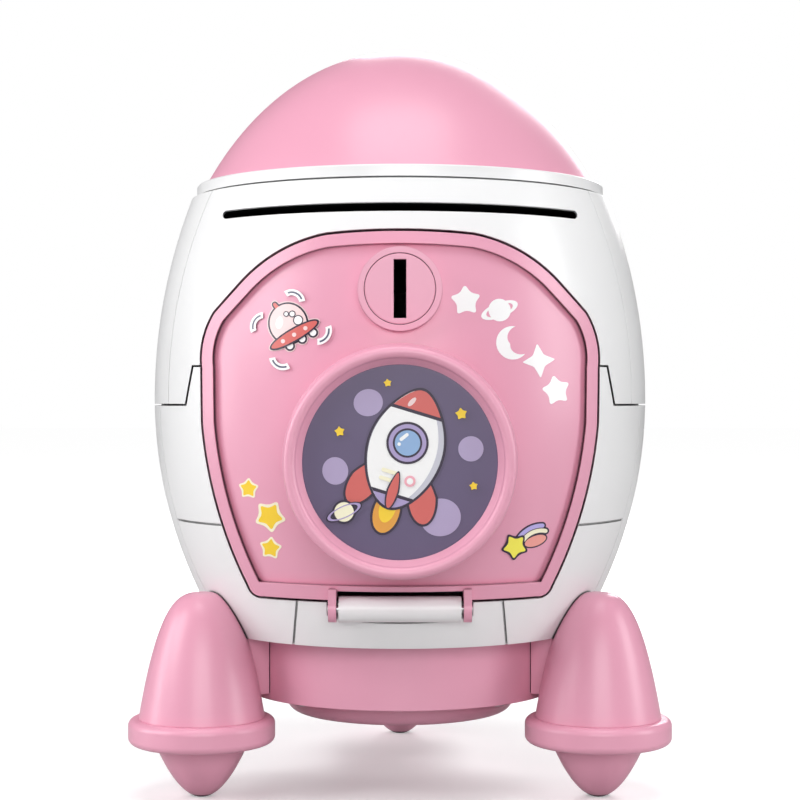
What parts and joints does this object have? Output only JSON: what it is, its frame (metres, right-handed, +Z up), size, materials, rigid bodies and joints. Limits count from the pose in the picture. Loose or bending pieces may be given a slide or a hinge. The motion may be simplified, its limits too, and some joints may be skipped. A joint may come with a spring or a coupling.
{
  "type": "toy safe coin bank",
  "caption": "Rocket-shaped toy safe coin bank: hinged front door with a turning dial and sliding bolts, a coin slot, a note slot, and three booster feet.",
  "frame": {"origin": "on the floor under the rocket's axis, at the centre of the overall box", "axes": "+Z up along the rocket's axis, the door faces -Y, +X to the right seen from the front"},
  "size_m": [0.204, 0.2265, 0.2866],
  "materials": {
    "white": "smooth satin white moulding",
    "pink": "smooth satin pink moulding",
    "purple": "printed dial disc",
    "black": "black moulding behind the slots",
    "inner": "unpolished inner moulding",
    "nylon": "natural nylon",
    "steel": "zinc plated"
  },
  "bodies": {
    "housing": {"upper_front_shell": "white", "lower_front_shell": "white", "upper_rear_shell": "white", "lower_rear_shell": "white", "shoulder_ring": "white", "hinge_barrel": "white", "nose_cone": "pink", "base_ring": "pink", "left_booster_cone": "pink", "left_booster_collar": "pink", "right_booster_cone": "pink", "right_booster_collar": "pink", "rear_booster_cone": "pink", "rear_booster_collar": "pink", "bottom_cover": "pink", "left_booster_foot": "pink", "right_booster_foot": "pink", "rear_booster_foot": "pink", "note_chute": "black", "chamber_floor": "inner", "base_screws": "steel", "shoulder_screws": "steel", "pan_screws": "steel", "booster_screws": "steel", "hinge_pin": "steel"},
    "door": {"door_panel": "pink", "door_liner": "inner", "door_screws": "steel", "coin_slot_plate": "pink", "coin_chute": "black", "latch_cover": "inner", "latch_screws": "steel"},
    "dial": {"dial_knob": "pink", "dial_disc": "purple", "bolt_pinion": "nylon", "dial_screw": "steel"},
    "left_bolt": {"left_bolt": "nylon"},
    "right_bolt": {"right_bolt": "nylon"}
  },
  "joints": [
    {"name": "door_hinge", "type": "hinge", "parent": "housing", "child": "door", "pos_m": [0, -0.079, 0.0741], "axis": [1, 0, 0], "range_deg": [0, 95]},
    {"name": "dial_turn", "type": "hinge", "parent": "door", "child": "dial", "pos_m": [0, -0.0976, 0.1274], "axis": [0, 1, 0], "range_deg": [0, 90]},
    {"name": "left_bolt_slide", "type": "slide", "parent": "door", "child": "left_bolt", "axis": [-1, 0, 0], "range_m": [0, 0.00942]},
    {"name": "right_bolt_slide", "type": "slide", "parent": "door", "child": "right_bolt", "axis": [1, 0, 0], "range_m": [0, 0.00942]}
  ],
  "couplings": [
    {"joint": "left_bolt_slide", "follows": "dial_turn", "m_per_rad": 0.006},
    {"joint": "right_bolt_slide", "follows": "dial_turn", "m_per_rad": 0.006}
  ]
}
